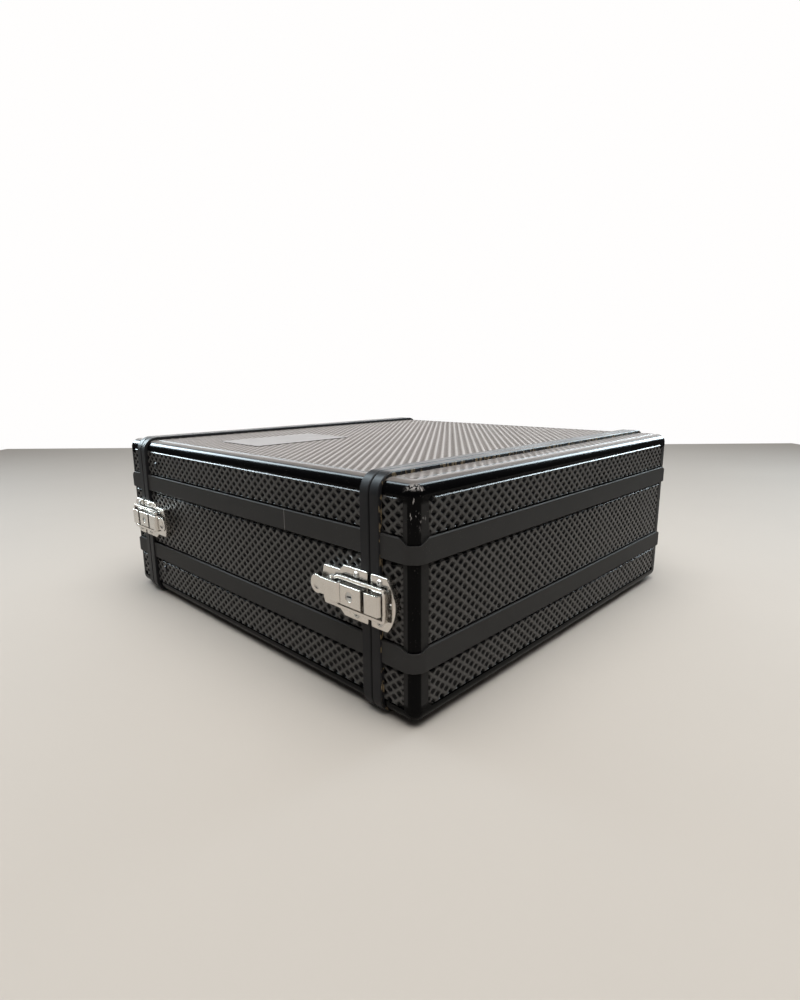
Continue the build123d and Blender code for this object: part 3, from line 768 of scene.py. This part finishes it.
def rail_finish():
    """Powder coat with a fine orange peel."""
    c = colours()
    finish = Finish("rail_powder_coat", IOR=1.5)
    patches = finish.noise(0.02, detail=4)
    finish.feed("Base Color", finish.mix(0.2 * patches, c.rail, c.dust))
    finish.feed("Roughness", 0.42 + 0.16 * patches)
    finish.bump(finish.noise(0.0009, detail=2), 0.25, 0.0002)
    return finish.material


def plate_finish():
    """Bare satin plate, drawn along X."""
    c = colours()
    finish = Finish("satin_plate", Metallic=0.3)
    lines = finish.noise(0.0007, detail=3, stretch=(0.02, 1, 1))
    patches = finish.noise(0.025, detail=5)
    finish.feed("Base Color", finish.mix(0.25 * patches, c.plate, c.dust))
    finish.feed("Roughness", 0.32 + 0.12 * lines + 0.14 * patches)
    finish.bump(lines, 0.1, 0.0001)
    return finish.material


def studio_world(stage):
    """Light all round: a pale wall behind the case and a dimmer room on the other side."""
    world = bpy.data.worlds.new("studio")
    world.use_nodes = True
    network = Network(world.node_tree)
    direction = network.node("ShaderNodeTexCoord", {}, {}, "Generated")
    away = (math.sin(stage.yaw), math.cos(stage.yaw), 0)
    dot_product = {"operation": "DOT_PRODUCT"}
    towards_wall = network.node("ShaderNodeVectorMath", dot_product, {0: direction, 1: away}, 1)
    height = network.node("ShaderNodeSeparateXYZ", {}, {0: direction}, "Z")
    facing_wall = towards_wall.over(0.45, 0.9)
    under_wall_top = 1 - height.over(0.3, 0.42)
    over_floor = height.over(-0.05, 0.0)
    brightness = stage.room + stage.wall * (facing_wall * under_wall_top * over_floor)
    seen = network.node("ShaderNodeLightPath", {}, {}, "Is Camera Ray")
    background = world.node_tree.nodes["Background"]
    background.inputs["Color"].default_value = (1, 0.99, 0.985, 1)
    strength = seen + (1 - seen) * brightness
    network.tree.links.new(strength.socket, background.inputs["Strength"])
    return world


def paint(nodes, finish):
    """Gives CAD nodes a finish."""
    for name in nodes:
        mesh = frame["nodes"][name].data
        mesh.materials.clear()
        mesh.materials.append(finish)


def nodes_in_slot(slot):
    """Names of the CAD nodes that the record puts in one material slot."""
    return [part["node"] for part in frame["record"]["subparts"] if part["material_slot"] == slot]


# Operators


class BuildLozenges(bpy.types.Operator):
    """Models the lozenge fields of the body and of both covers"""

    bl_idname = "rack_case.build_lozenges"
    bl_label = "Lozenge fields"

    def execute(self, context):
        finish = lozenge_finish()
        unit = lozenge_pit()
        self.body_walls(unit, finish)
        for end_name, end in ends.items():
            self.cover_face(unit, finish, end_name)
            self.cover_walls(unit, finish, end_name, end)
        bpy.data.objects.remove(unit)
        return {"FINISHED"}

    def body_walls(self, unit, finish):
        """The fields on the body's four walls, which run from valance to valance."""
        reach = wall_of("right") - sizes().edge_margin
        for face in sides:
            parts = []
            for low, high in side_levels().values():
                parts.append(field(
                    unit, face, (-valance_end, low), (valance_end, high), open_sides=("-u", "+u"),
                    covered=under_hardware,
                ))
            dress(join(f"body_{face}_lozenges", parts), "case_body", finish)
        for face in ("top", "bottom"):
            pad = field(
                unit, face, (-reach, -valance_end), (reach, valance_end), open_sides=("-v", "+v"),
                phase=top_phase, covered=under_hardware,
            )
            dress(join(f"body_{face}_lozenges", [pad]), "case_body", finish)

    def cover_face(self, unit, finish, end_name):
        """The three fields on a cover's face."""
        reach = wall_of("right") - sizes().face_margin
        rounded = {"low": ((-1, -1), (1, -1)), "middle": (), "high": ((-1, 1), (1, 1))}
        parts = []
        for level, (low, high) in side_levels().items():
            parts.append(field(unit, end_name, (-reach, low), (reach, high), rounded=rounded[level]))
        name = f"{end_name}_cover_face_lozenges"
        dress(join(name, parts), f"{end_name}_cover", finish)

    def cover_walls(self, unit, finish, end_name, end):
        """The fields on a cover's sides, top and bottom, from its valance to its face."""
        body = f"{end_name}_cover"
        reach = wall_of("right") - sizes().edge_margin
        near, far = cover_start, wall_of("rear") - sizes().edge_margin
        for face, side in sides.items():
            forward = side * end
            start, stop = sorted((forward * near, forward * far))
            rounded = {"low": ((forward, -1),), "middle": (), "high": ((forward, 1),)}
            parts = []
            for level, (low, high) in side_levels().items():
                parts.append(field(
                    unit, face, (start, low), (stop, high), rounded=rounded[level],
                    open_sides=("-u" if forward > 0 else "+u",), covered=under_hardware,
                ))
            dress(join(f"{end_name}_cover_{face}_lozenges", parts), body, finish)
        start, stop = sorted((end * near, end * far))
        for face in ("top", "bottom"):
            pad = field(
                unit, face, (-reach, start), (reach, stop), rounded=((-1, end), (1, end)),
                open_sides=("-v" if end > 0 else "+v",), phase=top_phase,
            )
            dress(join(f"{end_name}_cover_{face}_lozenges", [pad]), body, finish)


class FinishShells(bpy.types.Operator):
    """Finishes the moulded shells"""

    bl_idname = "rack_case.finish_shells"
    bl_label = "Shells"

    def execute(self, context):
        paint(("body_shell", "rear_cover_shell"), shell_finish("shell_plastic"))
        paint(("front_cover_shell",), shell_finish("scuffed_shell_plastic", scuffed=True))
        return {"FINISHED"}


class FinishValances(bpy.types.Operator):
    """Finishes the edge extrusions"""

    bl_idname = "rack_case.finish_valances"
    bl_label = "Valances"

    def execute(self, context):
        paint(nodes_in_slot("valance_black"), valance_finish())
        return {"FINISHED"}


class FinishLatches(bpy.types.Operator):
    """Finishes the latches and their lock bodies"""

    bl_idname = "rack_case.finish_latches"
    bl_label = "Latches"

    def execute(self, context):
        paint(nodes_in_slot("latch_steel"), nickel_finish())
        return {"FINISHED"}


class FinishSmallParts(bpy.types.Operator):
    """Finishes the pins, rivets, lock plugs and rail screws"""

    bl_idname = "rack_case.finish_small_parts"
    bl_label = "Small parts"

    def execute(self, context):
        small_parts = nodes_in_slot("pin_steel")
        screws = [name for name in small_parts if name.endswith("rail_screws")]
        others = [name for name in small_parts if name not in screws]
        paint(others, small_part_finish("bright_zinc", colours().zinc))
        paint(screws, small_part_finish("blackened_screws", colours().screw))
        return {"FINISHED"}


class FinishRails(bpy.types.Operator):
    """Finishes the rack rails"""

    bl_idname = "rack_case.finish_rails"
    bl_label = "Rack rails"

    def execute(self, context):
        paint(nodes_in_slot("rail_steel"), rail_finish())
        return {"FINISHED"}


class FinishPlate(bpy.types.Operator):
    """Finishes the bare plate on the top"""

    bl_idname = "rack_case.finish_plate"
    bl_label = "Top plate"

    def execute(self, context):
        paint(nodes_in_slot("plate_grey"), plate_finish())
        return {"FINISHED"}


class SetStage(bpy.types.Operator):
    """Sets the floor, the lights and the camera"""

    bl_idname = "rack_case.set_stage"
    bl_label = "Stage"

    def execute(self, context):
        stage = context.scene.rack_case_stage
        to_object_mode()
        bpy.ops.mesh.primitive_plane_add(size=2 * stage.floor_half, location=(0, 0, 0))
        floor = context.active_object
        bpy.ops.transform.rotate(value=stage.yaw, orient_axis="Z", center_override=(0, 0, 0))
        bpy.ops.object.transform_apply(rotation=True)
        floor.name = "floor"
        finish = Finish("plain_floor", Roughness=0.9)
        patches = finish.noise(0.3, detail=3)
        finish.feed("Base Color", finish.mix(0.1 * patches, colours().floor, colours().dust))
        floor.data.materials.append(finish.material)
        case_middle, near_corner = (0, 0, 0.1), (-0.257, -0.26, 0.2)
        ceiling_size, window_size = (2.2, 2.2), (0.4, 2.2)
        warm, cool = (1, 0.98, 0.95), (0.78, 0.92, 1)
        self.light("ceiling", (-0.3, -0.4, 2.2), case_middle, ceiling_size, stage.ceiling, warm)
        for name, place in (("rear_window", (-0.5, 1.6, 1.5)), ("side_window", (1.6, -0.5, 1.5))):
            window = self.light(name, place, near_corner, window_size, stage.windows, cool)
            window.visible_diffuse = False
        context.scene.world = studio_world(stage)
        camera = bpy.data.objects.new("camera", bpy.data.cameras.new("camera"))
        context.collection.objects.link(camera)
        turn = Matrix.Rotation(-stage.yaw, 4, "Z") @ Matrix.Rotation(math.pi / 2 - stage.pitch, 4, "X")
        rolled = Matrix.Rotation(stage.roll, 4, "Z")
        camera.matrix_world = Matrix.Translation(stage.camera_at) @ turn @ rolled
        camera.data.lens = stage.lens
        camera.data.clip_start = 0.01
        context.scene.camera = camera
        context.scene.view_settings.view_transform = "Standard"
        return {"FINISHED"}

    def light(self, name, place, target, size, power, tint):
        """A soft rectangular light that faces a point and isn't seen itself."""
        lamp = bpy.data.lights.new(name, "AREA")
        lamp.color = tint
        lamp.shape = "RECTANGLE"
        lamp.size, lamp.size_y = size
        lamp.energy = power
        lamp_object = bpy.data.objects.new(name, lamp)
        bpy.context.collection.objects.link(lamp_object)
        away = Vector(place) - Vector(target)
        facing = away.to_track_quat("Z", "Y").to_matrix().to_4x4()
        lamp_object.matrix_world = Matrix.Translation(place) @ facing
        lamp_object.visible_camera = False
        return lamp_object


class RackCasePanel(bpy.types.Panel):
    """Lists the case's sizes, colours and operators"""

    bl_idname = "VIEW3D_PT_rack_case"
    bl_label = "Rack Case"
    bl_space_type = "VIEW_3D"
    bl_region_type = "UI"
    bl_category = "Rack Case"

    def draw(self, context):
        for operator in operators:
            self.layout.operator(operator.bl_idname)
        for group in (
            context.scene.rack_case_sizes, context.scene.rack_case_colours, context.scene.rack_case_stage
        ):
            box = self.layout.box()
            for name in group.__annotations__:
                box.prop(group, name)


operators = (
    SetStage, FinishShells, FinishValances, FinishLatches, FinishSmallParts, FinishRails, FinishPlate,
    BuildLozenges,
)
groups = {"rack_case_sizes": CaseSizes, "rack_case_colours": CaseColours, "rack_case_stage": CaseStage}


def register():
    for group in (*groups.values(), *operators, RackCasePanel):
        bpy.utils.register_class(group)
    for name, group in groups.items():
        setattr(bpy.types.Scene, name, PointerProperty(type=group))


def unregister():
    for name in groups:
        delattr(bpy.types.Scene, name)
    for group in (RackCasePanel, *reversed(operators), *groups.values()):
        bpy.utils.unregister_class(group)


def main():
    register()
    bpy.ops.rack_case.set_stage()
    bpy.ops.rack_case.finish_shells()
    bpy.ops.rack_case.finish_valances()
    bpy.ops.rack_case.finish_latches()
    bpy.ops.rack_case.finish_small_parts()
    bpy.ops.rack_case.finish_rails()
    bpy.ops.rack_case.finish_plate()
    bpy.ops.rack_case.build_lozenges()
    to_object_mode()


if __name__ == "__main__":
    main()
